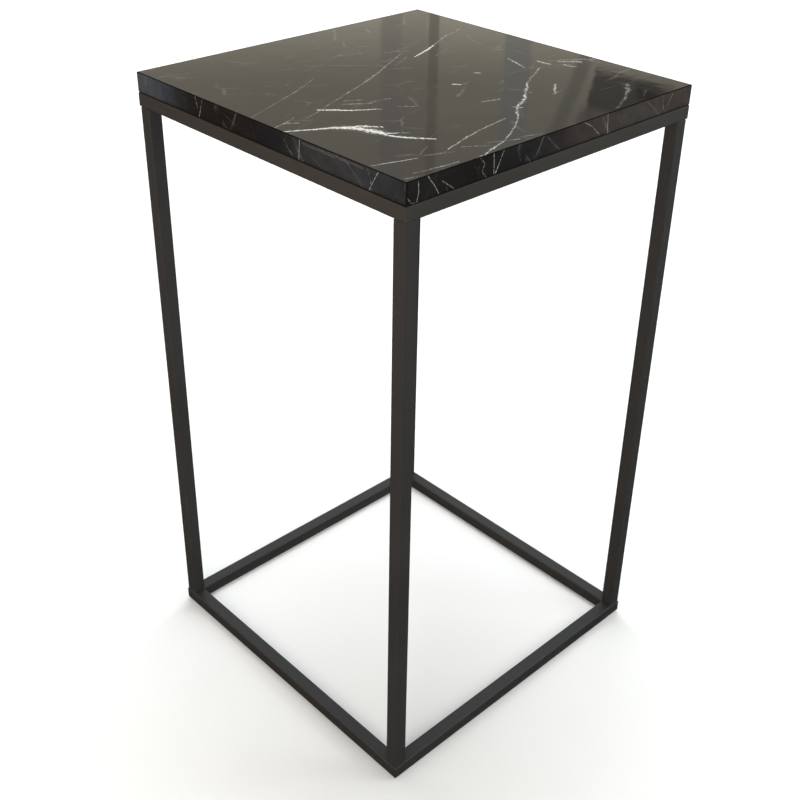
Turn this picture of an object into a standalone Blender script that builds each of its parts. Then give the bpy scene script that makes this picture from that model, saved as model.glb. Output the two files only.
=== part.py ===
"""Square side table: a gloss laminated board on a welded frame of square steel tube.

Units are metres and +Z is up. The origin is on the floor, under the middle of the table.
The front of the table faces -Y and its right side faces +X.
"""

import math
from collections import namedtuple

import bmesh
import bpy
from mathutils import Matrix, Vector

# Overall sizes
TABLE_WIDTH = 0.390
TABLE_DEPTH = 0.390
TABLE_HEIGHT = 0.690

# Board: a chipboard core, a gloss sheet on its face, a backer under it and a band on each edge
CORE_THICKNESS = 0.0180
FACE_SHEET_THICKNESS = 0.0008
BACKER_THICKNESS = 0.0006
EDGE_BAND_THICKNESS = 0.0010
EDGE_BAND_ROUNDING = 0.0004

# Square steel tube of the two frames and the legs
TUBE_SIZE = 0.0150
TUBE_WALL = 0.0012
TUBE_CORNER_RADIUS = 0.0015
TUBE_INNER_RADIUS = 0.0004
LEG_INSET = 0.0005
LEG_END_CHAMFER = 0.0006

# Corner plates that hold the board to the top frame
PLATE_SIDE = 0.0450
PLATE_THICKNESS = 0.0020
PLATE_CORNER_CLIP = 0.0040
PLATE_END_WIDTH = 0.0080
PLATE_HOLE_INSET = 0.0140

# Pan-head wood screws
SCREW_RADIUS = 0.0020
SCREW_LENGTH = 0.0160
SCREW_TIP_LENGTH = 0.0035
SCREW_HEAD_RADIUS = 0.0042
SCREW_HEAD_HEIGHT = 0.0026
SCREW_HEAD_RIM = 0.0007
RECESS_SPAN = 0.0044
RECESS_WIDTH = 0.0010
RECESS_DEPTH = 0.0014

# Pads stuck under the corners of the base frame
PAD_RADIUS = 0.0060
PAD_THICKNESS = 0.0010
PAD_ROUNDING = 0.0002

# Clearances
JOINT_GAP = 0.0003
SCREW_CLEARANCE = 0.0003
PILOT_TIP_CLEARANCE = 0.0010
CUTTER_OVERRUN = 0.0010

# How meshes are finished: edges flatter than this angle look smooth, and closer points are welded
SHARP_EDGE_ANGLE = math.radians(40)
WELD_DISTANCE = 0.000001

# Steps in a round outline
TUBE_CORNER_STEPS = 6
TUBE_INNER_STEPS = 3
EDGE_BAND_STEPS = 3
HOLE_STEPS = 32
SCREW_STEPS = 28
SCREW_DOME_STEPS = 6
PAD_STEPS = 40
PAD_ROUNDING_STEPS = 2

# Heights, worked up from the floor and down from the top face
BASE_FRAME_UNDERSIDE = PAD_THICKNESS + JOINT_GAP
BASE_FRAME_MIDDLE = BASE_FRAME_UNDERSIDE + TUBE_SIZE / 2
LEG_BOTTOM = BASE_FRAME_UNDERSIDE + TUBE_SIZE + JOINT_GAP
CORE_TOP = TABLE_HEIGHT - FACE_SHEET_THICKNESS - JOINT_GAP
CORE_BOTTOM = CORE_TOP - CORE_THICKNESS
BACKER_TOP = CORE_BOTTOM - JOINT_GAP
BOARD_UNDERSIDE = BACKER_TOP - BACKER_THICKNESS
BOARD_THICKNESS = TABLE_HEIGHT - BOARD_UNDERSIDE
TOP_FRAME_TOP = BOARD_UNDERSIDE - JOINT_GAP
TOP_FRAME_MIDDLE = TOP_FRAME_TOP - TUBE_SIZE / 2
LEG_TOP = TOP_FRAME_TOP - TUBE_SIZE - JOINT_GAP
PLATE_UNDERSIDE = TOP_FRAME_TOP - PLATE_THICKNESS
SCREW_SEAT = PLATE_UNDERSIDE - JOINT_GAP
PILOT_TOP = SCREW_SEAT + SCREW_LENGTH + PILOT_TIP_CLEARANCE

# A side has the angle that turns the front onto it, its length, and how far out its face is
Side = namedtuple("Side", "name angle length reach")
SIDES = (
    Side("front", 0.0, TABLE_WIDTH, TABLE_DEPTH / 2),
    Side("right", math.pi / 2, TABLE_DEPTH, TABLE_WIDTH / 2),
    Side("back", math.pi, TABLE_WIDTH, TABLE_DEPTH / 2),
    Side("left", -math.pi / 2, TABLE_DEPTH, TABLE_WIDTH / 2),
)

# A corner has its signs along X and Y, and the angle that turns the front left corner onto it
Corner = namedtuple("Corner", "name x y angle")
CORNERS = (
    Corner("front_left", -1, -1, 0.0),
    Corner("front_right", 1, -1, math.pi / 2),
    Corner("back_right", 1, 1, math.pi),
    Corner("back_left", -1, 1, -math.pi / 2),
)


def clear_objects():
    """Remove every object of the open file."""
    for item in list(bpy.data.objects):
        bpy.data.objects.remove(item, do_unlink=True)


def new_collection(name):
    """Make a collection and link it to the scene."""
    collection = bpy.data.collections.new(name)
    bpy.context.scene.collection.children.link(collection)
    return collection


def new_material(name, colour, roughness, metallic=0.0):
    """Make a plain Principled material."""
    material = bpy.data.materials.new(name)
    material.use_nodes = True
    shader = material.node_tree.nodes["Principled BSDF"]
    shader.inputs["Base Color"].default_value = (*colour, 1.0)
    shader.inputs["Roughness"].default_value = roughness
    shader.inputs["Metallic"].default_value = metallic
    return material


def new_group(name, collection, height, parent=None):
    """Make an empty on the table's vertical axis, which a group of pieces is placed from."""
    group = bpy.data.objects.new(name, None)
    group.empty_display_size = TUBE_SIZE
    group.location.z = height
    group.parent = parent
    collection.objects.link(group)
    return group


def place(piece, material, collection, parent, location, angle=0.0):
    """Give a piece its material, its group, and its place within the group."""
    if material is not None:
        piece.data.materials.clear()
        piece.data.materials.append(material)
    piece.parent = parent
    piece.location = location
    piece.rotation_euler.z = angle
    collection.objects.link(piece)
    return piece


def finish_mesh(shape, name):
    """Turn a bmesh into a mesh whose faces point outwards and whose round faces are smooth."""
    bmesh.ops.recalc_face_normals(shape, faces=shape.faces)
    mesh = bpy.data.meshes.new(name)
    shape.to_mesh(mesh)
    shape.free()
    mesh.shade_smooth()
    mesh.set_sharp_from_angle(angle=SHARP_EDGE_ANGLE)
    return mesh


def box_bmesh(size_x, size_y, size_z):
    """Box centred on the origin."""
    shape = bmesh.new()
    bmesh.ops.create_cube(shape, size=1.0)
    bmesh.ops.scale(shape, vec=(size_x, size_y, size_z), verts=shape.verts)
    return shape


def rounded_square(half, radius, steps):
    """Outline of a square with round corners, anticlockwise from the +X +Y corner."""
    centre = half - radius
    points = []
    for corner in range(4):
        middle = math.pi / 4 + corner * math.pi / 2
        centre_x = math.copysign(centre, math.cos(middle))
        centre_y = math.copysign(centre, math.sin(middle))
        for step in range(steps + 1):
            angle = corner * math.pi / 2 + step / steps * math.pi / 2
            points.append((centre_x + radius * math.cos(angle), centre_y + radius * math.sin(angle)))
    return points


def circle(centre_x, centre_y, radius, steps):
    """Outline of a circle."""
    turns = [step / steps * math.tau for step in range(steps)]
    return [(centre_x + radius * math.cos(turn), centre_y + radius * math.sin(turn)) for turn in turns]


def extruded_bmesh(outlines, thickness):
    """Extrude a flat outline and the holes in it along Z, centred on the origin."""
    curve = bpy.data.curves.new("outline", "CURVE")
    curve.dimensions = "2D"
    curve.fill_mode = "BOTH"
    curve.extrude = thickness / 2
    for outline in outlines:
        spline = curve.splines.new("POLY")
        spline.points.add(len(outline) - 1)
        for point, (x, y) in zip(spline.points, outline):
            point.co = (x, y, 0.0, 1.0)
        spline.use_cyclic_u = True
    holder = bpy.data.objects.new("outline", curve)
    bpy.context.scene.collection.objects.link(holder)
    depsgraph = bpy.context.evaluated_depsgraph_get()
    mesh = bpy.data.meshes.new_from_object(holder.evaluated_get(depsgraph))
    shape = bmesh.new()
    shape.from_mesh(mesh)
    bmesh.ops.remove_doubles(shape, verts=shape.verts, dist=WELD_DISTANCE)
    bpy.data.objects.remove(holder, do_unlink=True)
    bpy.data.curves.remove(curve)
    bpy.data.meshes.remove(mesh)
    return shape


def tube_bmesh(length):
    """Square tube along Z, open at both ends and centred on the origin."""
    half = TUBE_SIZE / 2
    outside = rounded_square(half, TUBE_CORNER_RADIUS, TUBE_CORNER_STEPS)
    inside = rounded_square(half - TUBE_WALL, TUBE_INNER_RADIUS, TUBE_INNER_STEPS)
    return extruded_bmesh((outside, inside), length)


def leg_mesh():
    """Upright leg, with the outer edges of both ends chamfered for the weld."""
    shape = tube_bmesh(LEG_TOP - LEG_BOTTOM)
    bmesh.ops.recalc_face_normals(shape, faces=shape.faces)
    shape.normal_update()
    outer_edges = []
    for edge in shape.edges:
        end_faces = [face for face in edge.link_faces if abs(face.normal.z) > 0.5]
        wall_faces = [face for face in edge.link_faces if abs(face.normal.z) < 0.5]
        if len(end_faces) == 1 and len(wall_faces) == 1:
            middle = (edge.verts[0].co + edge.verts[1].co) / 2
            if wall_faces[0].normal.dot(middle) > 0:
                outer_edges.append(edge)
    bmesh.ops.bevel(shape, geom=outer_edges, offset=LEG_END_CHAMFER, segments=1, affect="EDGES")
    return finish_mesh(shape, "leg")


def rail_mesh(length):
    """Rail along X whose outer face is towards -Y, mitred at both ends to meet its neighbours."""
    shape = tube_bmesh(length)
    bmesh.ops.rotate(shape, matrix=Matrix.Rotation(math.pi / 2, 3, "Y"), verts=shape.verts)
    seam = JOINT_GAP / math.sqrt(2)
    for vertex in shape.verts:
        from_outer_face = vertex.co.y + TUBE_SIZE / 2
        end = length / 2 - from_outer_face - seam
        vertex.co.x = math.copysign(end, vertex.co.x)
    return finish_mesh(shape, "rail")


def edge_band_mesh(length):
    """Band along X with its outer face towards -Y, whose outer edges are eased."""
    shape = box_bmesh(length, EDGE_BAND_THICKNESS, BOARD_THICKNESS)
    outer_edges = [edge for edge in shape.edges if all(vertex.co.y < 0 for vertex in edge.verts)]
    bmesh.ops.bevel(shape, geom=outer_edges, offset=EDGE_BAND_ROUNDING, segments=EDGE_BAND_STEPS,
                    profile=0.5, affect="EDGES")
    return finish_mesh(shape, "edge_band")


def corner_plate_mesh():
    """Corner plate with its right angle at the origin, running out along +X and +Y."""
    outline = [
        (PLATE_CORNER_CLIP, 0.0),
        (PLATE_SIDE, 0.0),
        (PLATE_SIDE, PLATE_END_WIDTH),
        (PLATE_END_WIDTH, PLATE_SIDE),
        (0.0, PLATE_SIDE),
        (0.0, PLATE_CORNER_CLIP),
    ]
    hole_radius = SCREW_RADIUS + SCREW_CLEARANCE
    hole = circle(PLATE_HOLE_INSET, PLATE_HOLE_INSET, hole_radius, HOLE_STEPS)
    return finish_mesh(extruded_bmesh((outline, hole), PLATE_THICKNESS), "corner_plate")


def screw_profile_mesh():
    """Half section of a screw that points up, with the underside of its head at the origin."""
    shape = bmesh.new()
    points = [
        (0.0, SCREW_LENGTH),
        (SCREW_RADIUS, SCREW_LENGTH - SCREW_TIP_LENGTH),
        (SCREW_RADIUS, 0.0),
        (SCREW_HEAD_RADIUS, 0.0),
    ]
    dome_height = SCREW_HEAD_HEIGHT - SCREW_HEAD_RIM
    for step in range(SCREW_DOME_STEPS + 1):
        turn = step / SCREW_DOME_STEPS * math.pi / 2
        radius = SCREW_HEAD_RADIUS * math.cos(turn)
        points.append((radius, -SCREW_HEAD_RIM - dome_height * math.sin(turn)))
    vertices = [shape.verts.new((x, 0.0, z)) for x, z in points]
    for first, second in zip(vertices, vertices[1:]):
        shape.edges.new((first, second))
    mesh = bpy.data.meshes.new("screw_profile")
    shape.to_mesh(mesh)
    shape.free()
    return mesh


def recess_cutter_mesh():
    """Cross that cuts the driver recess, around the lowest point of a screw's head."""
    arm = RECESS_SPAN / 2
    half = RECESS_WIDTH / 2
    quarter = [(arm, -half), (arm, half), (half, half)]
    outline = []
    for turn in range(4):
        spin = Matrix.Rotation(turn * math.pi / 2, 2)
        outline.extend(tuple(spin @ Vector(point)) for point in quarter)
    return finish_mesh(extruded_bmesh((outline,), 2 * RECESS_DEPTH), "recess_cutter")


def pad_mesh():
    """Round pad with an eased lower and upper rim."""
    shape = bmesh.new()
    bmesh.ops.create_cone(shape, cap_ends=True, segments=PAD_STEPS, radius1=PAD_RADIUS,
                          radius2=PAD_RADIUS, depth=PAD_THICKNESS)
    rims = [edge for edge in shape.edges if edge.verts[0].co.z * edge.verts[1].co.z > 0]
    bmesh.ops.bevel(shape, geom=rims, offset=PAD_ROUNDING, segments=PAD_ROUNDING_STEPS, profile=0.5,
                    affect="EDGES")
    return finish_mesh(shape, "floor_pad")


def add_cut(piece, cutter):
    """Cut a piece with another object."""
    cut = piece.modifiers.new(cutter.name, "BOOLEAN")
    cut.operation = "DIFFERENCE"
    cut.solver = "EXACT"
    cut.object = cutter


def mark_cutter(cutter):
    """Show a cutter as a wire and leave it out of the model."""
    cutter.display_type = "WIRE"
    cutter.hide_render = True


def plate_corner(corner):
    """Place where the two rails of the top frame meet, on the inside of a corner."""
    side = TUBE_SIZE + JOINT_GAP
    return corner.x * (TABLE_WIDTH / 2 - side), corner.y * (TABLE_DEPTH / 2 - side)


def screw_axis(corner):
    """Place of a screw, over the hole in its corner plate."""
    corner_x, corner_y = plate_corner(corner)
    return corner_x - corner.x * PLATE_HOLE_INSET, corner_y - corner.y * PLATE_HOLE_INSET


def leg_axis(corner):
    """Place of a leg, set in a little from the outer faces of the frames."""
    inset = LEG_INSET + TUBE_SIZE / 2
    return corner.x * (TABLE_WIDTH / 2 - inset), corner.y * (TABLE_DEPTH / 2 - inset)


def add_board(collection, cutters, parent, materials):
    """Add the laminated board: core, face sheet, backer and four edge bands."""
    board = new_group("board", collection, BOARD_UNDERSIDE, parent)
    inner_width = TABLE_WIDTH - 2 * (EDGE_BAND_THICKNESS + JOINT_GAP)
    inner_depth = TABLE_DEPTH - 2 * (EDGE_BAND_THICKNESS + JOINT_GAP)
    layers = (
        ("board_core", CORE_BOTTOM, CORE_THICKNESS, "chipboard"),
        ("top_face_sheet", TABLE_HEIGHT - FACE_SHEET_THICKNESS, FACE_SHEET_THICKNESS, "marble_face"),
        ("bottom_backer_sheet", BOARD_UNDERSIDE, BACKER_THICKNESS, "backer"),
    )
    sheets = {}
    for name, bottom, thickness, finish in layers:
        mesh = finish_mesh(box_bmesh(inner_width, inner_depth, thickness), name)
        height = bottom + thickness / 2 - BOARD_UNDERSIDE
        sheet = bpy.data.objects.new(name, mesh)
        sheets[name] = place(sheet, materials[finish], collection, board, (0.0, 0.0, height))

    pilot_bottom = BOARD_UNDERSIDE - CUTTER_OVERRUN
    for corner in CORNERS:
        shape = bmesh.new()
        radius = SCREW_RADIUS + SCREW_CLEARANCE
        bmesh.ops.create_cone(shape, cap_ends=True, segments=HOLE_STEPS, radius1=radius,
                              radius2=radius, depth=PILOT_TOP - pilot_bottom)
        pilot = bpy.data.objects.new("pilot_cutter_" + corner.name, finish_mesh(shape, "pilot_cutter"))
        middle = (PILOT_TOP + pilot_bottom) / 2 - BOARD_UNDERSIDE
        place(pilot, None, cutters, board, (*screw_axis(corner), middle))
        mark_cutter(pilot)
        add_cut(sheets["board_core"], pilot)
        add_cut(sheets["bottom_backer_sheet"], pilot)

    for side in SIDES:
        length = side.length
        if side.name in ("left", "right"):
            length -= 2 * (EDGE_BAND_THICKNESS + JOINT_GAP)
        band = bpy.data.objects.new("edge_band_" + side.name, edge_band_mesh(length))
        reach = side.reach - EDGE_BAND_THICKNESS / 2
        location = (reach * math.sin(side.angle), -reach * math.cos(side.angle), BOARD_THICKNESS / 2)
        place(band, materials["edge_band"], collection, board, location, side.angle)


def add_tube_frame(name, height, collection, parent, material):
    """Add a square frame of four mitred rails."""
    frame = new_group(name, collection, height, parent)
    for side in SIDES:
        rail = bpy.data.objects.new(name + "_rail_" + side.name, rail_mesh(side.length))
        reach = side.reach - TUBE_SIZE / 2
        location = (reach * math.sin(side.angle), -reach * math.cos(side.angle), 0.0)
        place(rail, material, collection, frame, location, side.angle)


def add_legs(collection, parent, material):
    """Add the four legs between the two frames."""
    legs = new_group("legs", collection, (LEG_BOTTOM + LEG_TOP) / 2, parent)
    mesh = leg_mesh()
    for corner in CORNERS:
        leg = bpy.data.objects.new("leg_" + corner.name, mesh)
        place(leg, material, collection, legs, (*leg_axis(corner), 0.0))


def add_fixings(collection, cutters, parent, materials):
    """Add the corner plates and the screws that hold the board down."""
    fixings = new_group("fixings", collection, SCREW_SEAT, parent)
    plate_mesh = corner_plate_mesh()
    profile = screw_profile_mesh()
    recess_mesh = recess_cutter_mesh()
    plate_height = PLATE_UNDERSIDE + PLATE_THICKNESS / 2 - SCREW_SEAT
    for corner in CORNERS:
        plate = bpy.data.objects.new("corner_plate_" + corner.name, plate_mesh)
        plate_place = (*plate_corner(corner), plate_height)
        place(plate, materials["powder_coat"], collection, fixings, plate_place, corner.angle)

        screw = bpy.data.objects.new("board_screw_" + corner.name, profile)
        place(screw, materials["zinc"], collection, fixings, (*screw_axis(corner), 0.0))
        turning = screw.modifiers.new("turn", "SCREW")
        turning.angle = math.tau
        turning.steps = SCREW_STEPS
        turning.render_steps = SCREW_STEPS
        turning.use_merge_vertices = True
        turning.merge_threshold = WELD_DISTANCE
        turning.use_smooth_shade = True

        recess = bpy.data.objects.new("recess_cutter_" + corner.name, recess_mesh)
        place(recess, None, cutters, fixings, (*screw_axis(corner), -SCREW_HEAD_HEIGHT))
        mark_cutter(recess)
        add_cut(screw, recess)


def add_floor_pads(collection, parent, material):
    """Add a pad under each corner of the base frame."""
    pads = new_group("floor_pads", collection, PAD_THICKNESS / 2, parent)
    mesh = pad_mesh()
    for corner in CORNERS:
        pad = bpy.data.objects.new("floor_pad_" + corner.name, mesh)
        place(pad, material, collection, pads, (*leg_axis(corner), 0.0))


def main():
    """Build the table."""
    clear_objects()
    collection = new_collection("square_side_table")
    cutters = new_collection("cutters")
    materials = {
        "marble_face": new_material("marble_face", (0.045, 0.042, 0.038), 0.06),
        "edge_band": new_material("edge_band", (0.012, 0.011, 0.011), 0.08),
        "chipboard": new_material("chipboard", (0.42, 0.30, 0.18), 0.85),
        "backer": new_material("backer", (0.030, 0.029, 0.028), 0.60),
        "powder_coat": new_material("powder_coat", (0.032, 0.030, 0.029), 0.42),
        "zinc": new_material("zinc", (0.62, 0.62, 0.60), 0.35, 1.0),
        "pad_rubber": new_material("pad_rubber", (0.018, 0.018, 0.018), 0.75),
    }
    table = new_group("table", collection, 0.0)
    add_board(collection, cutters, table, materials)
    add_tube_frame("top_frame", TOP_FRAME_MIDDLE, collection, table, materials["powder_coat"])
    add_tube_frame("base_frame", BASE_FRAME_MIDDLE, collection, table, materials["powder_coat"])
    add_legs(collection, table, materials["powder_coat"])
    add_fixings(collection, cutters, table, materials)
    add_floor_pads(collection, table, materials["pad_rubber"])


main()
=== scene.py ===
"""A square side table: a gloss board printed as black marble, on a frame of black square tube.

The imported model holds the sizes. This script dresses it: finishes for every piece, the welds that
close the tube joints, threaded screws, and a pale studio round it. Units are metres, +Z is up, the
front of the table faces -Y and its right side faces +X.
"""

import logging
import math
from dataclasses import dataclass, replace
from enum import Enum
from typing import Any

import bmesh
import bpy
from mathutils import Matrix, Vector


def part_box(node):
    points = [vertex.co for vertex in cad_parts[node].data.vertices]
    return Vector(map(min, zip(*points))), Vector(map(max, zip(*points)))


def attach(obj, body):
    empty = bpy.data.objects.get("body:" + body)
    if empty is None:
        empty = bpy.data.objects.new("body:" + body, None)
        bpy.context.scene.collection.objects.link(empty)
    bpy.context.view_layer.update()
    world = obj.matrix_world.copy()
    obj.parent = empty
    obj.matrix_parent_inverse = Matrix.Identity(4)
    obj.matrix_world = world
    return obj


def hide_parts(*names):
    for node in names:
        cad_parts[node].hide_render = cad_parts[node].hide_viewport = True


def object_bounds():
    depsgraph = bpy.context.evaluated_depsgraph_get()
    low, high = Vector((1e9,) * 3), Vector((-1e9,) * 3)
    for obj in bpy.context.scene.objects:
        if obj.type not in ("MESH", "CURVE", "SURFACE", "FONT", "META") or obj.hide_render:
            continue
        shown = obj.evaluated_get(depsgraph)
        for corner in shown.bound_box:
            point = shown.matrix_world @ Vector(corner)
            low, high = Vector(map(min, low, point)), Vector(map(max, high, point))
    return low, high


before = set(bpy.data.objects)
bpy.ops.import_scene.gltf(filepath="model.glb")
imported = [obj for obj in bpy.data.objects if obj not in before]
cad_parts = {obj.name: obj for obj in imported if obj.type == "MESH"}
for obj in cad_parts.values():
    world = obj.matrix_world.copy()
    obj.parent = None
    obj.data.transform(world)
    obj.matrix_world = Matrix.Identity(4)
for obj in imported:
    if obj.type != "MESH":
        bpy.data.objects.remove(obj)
CAD_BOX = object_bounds()

LOG = logging.getLogger("side_table")
ROOT = "root"
MM = 0.001
JOINT_GAP = 0.0003
SHARP_ANGLE = math.radians(40.0)

Colour = tuple[float, float, float]
Point = tuple[float, float]
Place = tuple[float, float, float]
Material = bpy.types.Material
Piece = bpy.types.Object
Shape = bmesh.types.BMesh
Vert = bmesh.types.BMVert
Surface = tuple[Any, Any, Any, float]


class Face(Enum):
    """The faces of the board that carry the marble print."""

    TOP = "top"
    FRONT = "front"
    RIGHT = "right"
    BACK = "back"
    LEFT = "left"


class CornerPlace(Enum):
    """The four corners of the table, as signs along X and Y."""

    FRONT_LEFT = (-1, -1)
    FRONT_RIGHT = (1, -1)
    BACK_RIGHT = (1, 1)
    BACK_LEFT = (-1, 1)

    @property
    def label(self) -> str:
        """Name of the corner as the model's pieces have it."""
        return self.name.lower()


# --- Shader nodes ---


class Bench:
    """Lays shader nodes in one node tree, and joins them as they are made."""

    def __init__(self, tree: bpy.types.NodeTree) -> None:
        """Start on the node tree of a material, a world or a node group."""
        self.tree = tree

    @property
    def shader(self) -> bpy.types.Node:
        """The Principled shader of a material's tree."""
        return self.tree.nodes["Principled BSDF"]

    def feed(self, socket: bpy.types.NodeSocket, value: Any) -> None:
        """Give an input a value, or link another node's output to it.

        Args:
            socket: The input.
            value: A number, a vector, a colour or an output socket.
        """
        if isinstance(value, bpy.types.NodeSocket):
            self.tree.links.new(value, socket)
        elif socket.type == "RGBA":
            socket.default_value = (*value, 1.0)
        else:
            socket.default_value = value

    def add(self, kind: str, inputs: dict[Any, Any] | None = None, **settings: Any) -> bpy.types.Node:
        """Add one node.

        Args:
            kind: The node's Blender type name.
            inputs: Values or output sockets for its inputs, by name or place.
            **settings: The node's own properties.

        Returns:
            The new node.
        """
        node = self.tree.nodes.new(kind)
        for name, value in settings.items():
            setattr(node, name, value)
        for key, value in (inputs or {}).items():
            self.feed(node.inputs[key], value)
        return node

    def math(self, operation: str, first: Any, second: Any = 0.0, third: Any = 0.0) -> Any:
        """Return the output of a Math node."""
        return self.add("ShaderNodeMath", {0: first, 1: second, 2: third}, operation=operation).outputs[0]

    def times(self, first: Any, second: Any) -> Any:
        """Return the product of two numbers."""
        return self.math("MULTIPLY", first, second)

    def vector(self, operation: str, first: Any, second: Any = (0.0, 0.0, 0.0),
               output: str = "Vector") -> Any:
        """Return an output of a Vector Math node."""
        return self.add("ShaderNodeVectorMath", {0: first, 1: second}, operation=operation).outputs[output]

    def measure(self, operation: str, first: Any, second: Any = (0.0, 0.0, 0.0)) -> Any:
        """Return the number that a Vector Math node such as DOT_PRODUCT or LENGTH gives."""
        return self.vector(operation, first, second, "Value")

    def scaled(self, vector: Any, factor: Any) -> Any:
        """Return a vector times a number."""
        return self.add("ShaderNodeVectorMath", {0: vector, "Scale": factor},
                        operation="SCALE").outputs["Vector"]

    def ramp(self, value: Any, low: Any, high: Any, start: float = 0.0, end: float = 1.0) -> Any:
        """Carry a value from the range low to high to the range start to end, easing in and out."""
        return self.add("ShaderNodeMapRange", {0: value, 1: low, 2: high, 3: start, 4: end},
                        interpolation_type="SMOOTHSTEP").outputs[0]

    def noise(self, place: Any, scale: float, detail: float = 2.0, rough: float = 0.5,
              colour: bool = False) -> Any:
        """Return the value or the colour of a Noise texture."""
        node = self.add("ShaderNodeTexNoise", {"Vector": place, "Scale": scale, "Detail": detail,
                                               "Roughness": rough})
        return node.outputs["Color" if colour else "Fac"]

    def blend(self, factor: Any, first: Any, second: Any, mode: str = "MIX") -> Any:
        """Return a mix of two colours."""
        node = self.add("ShaderNodeMix", data_type="RGBA", blend_type=mode)
        self.feed(node.inputs[0], factor)
        self.feed(node.inputs[6], first)
        self.feed(node.inputs[7], second)
        return node.outputs[2]

    def grey(self, value: Any) -> Any:
        """Return a vector with one number in all three places."""
        return self.add("ShaderNodeCombineXYZ", {0: value, 1: value, 2: value}).outputs[0]

    def place(self) -> Any:
        """Return the place on the piece, in metres in the table's frame."""
        return self.add("ShaderNodeTexCoord").outputs["Object"]

    def split(self, vector: Any) -> Any:
        """Return the three parts of a vector."""
        return self.add("ShaderNodeSeparateXYZ", {0: vector}).outputs

    def coat(self, colour: Any, roughness: Any, height: Any, depth: float) -> None:
        """Feed the Principled shader its colour, its roughness and a bump.

        Args:
            colour: Where its colour comes from.
            roughness: Where its roughness comes from.
            height: Where the height of the bump comes from.
            depth: Depth of the bump in metres.
        """
        self.feed(self.shader.inputs["Base Color"], colour)
        self.feed(self.shader.inputs["Roughness"], roughness)
        bump = self.add("ShaderNodeBump", {"Height": height, "Distance": depth})
        self.feed(self.shader.inputs["Normal"], bump.outputs[0])


def open_material(name: str) -> tuple[Material, Bench]:
    """Make a material that holds only a Principled shader.

    Args:
        name: The material's name.

    Returns:
        The material and the bench for its nodes.
    """
    material = bpy.data.materials.new(name)
    material.use_nodes = True
    return material, Bench(material.node_tree)


VEIN_CORE = 0.4
VEIN_HALO_REACH = 2.4
VEIN_HALO = 0.05


def vein_run_group() -> bpy.types.NodeTree:
    """Make, once, the node group that draws one straight run of a vein with soft sides.

    Returns:
        The node group. It takes a place, the run's two ends, its half width at each and how
        frayed it is there, and gives 1 in the middle of the run and 0 well beyond its sides.
    """
    name = "vein_run"
    if name in bpy.data.node_groups:
        return bpy.data.node_groups[name]
    tree = bpy.data.node_groups.new(name, "ShaderNodeTree")
    for label in ("Place", "Start", "End"):
        tree.interface.new_socket(label, in_out="INPUT", socket_type="NodeSocketVector")
    for label in ("Start Width", "End Width", "Fray"):
        tree.interface.new_socket(label, in_out="INPUT", socket_type="NodeSocketFloat")
    tree.interface.new_socket("Cover", in_out="OUTPUT", socket_type="NodeSocketFloat")
    bench = Bench(tree)
    given = bench.add("NodeGroupInput").outputs
    reach = bench.vector("SUBTRACT", given["Place"], given["Start"])
    run = bench.vector("SUBTRACT", given["End"], given["Start"])
    share = bench.math("DIVIDE", bench.measure("DOT_PRODUCT", reach, run),
                       bench.measure("DOT_PRODUCT", run, run))
    along = bench.add("ShaderNodeClamp", {0: share}).outputs[0]
    off = bench.measure("LENGTH", bench.vector("SUBTRACT", reach, bench.scaled(run, along)))
    width = bench.add("ShaderNodeMix", {0: along, 2: given["Start Width"], 3: given["End Width"]},
                      data_type="FLOAT").outputs[0]
    frayed = bench.math("MULTIPLY_ADD", given["Fray"], width, off)
    core = bench.times(width, VEIN_CORE)
    solid = bench.ramp(frayed, core, width, 1.0, 0.0)
    halo = bench.ramp(off, width, bench.times(width, VEIN_HALO_REACH), VEIN_HALO, 0.0)
    bench.add("NodeGroupOutput", {"Cover": bench.math("MAXIMUM", solid, halo)})
    return tree


# --- Finishes ---


@dataclass(frozen=True)
class Vein:
    """A pale vein, as the points that it runs through.

    Each point is two distances along the face and the vein's half width there, in millimetres.
    """

    points: tuple[tuple[float, float, float], ...]
    strength: float = 0.6
    broken: float = 0.3
    jagged: bool = False


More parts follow.
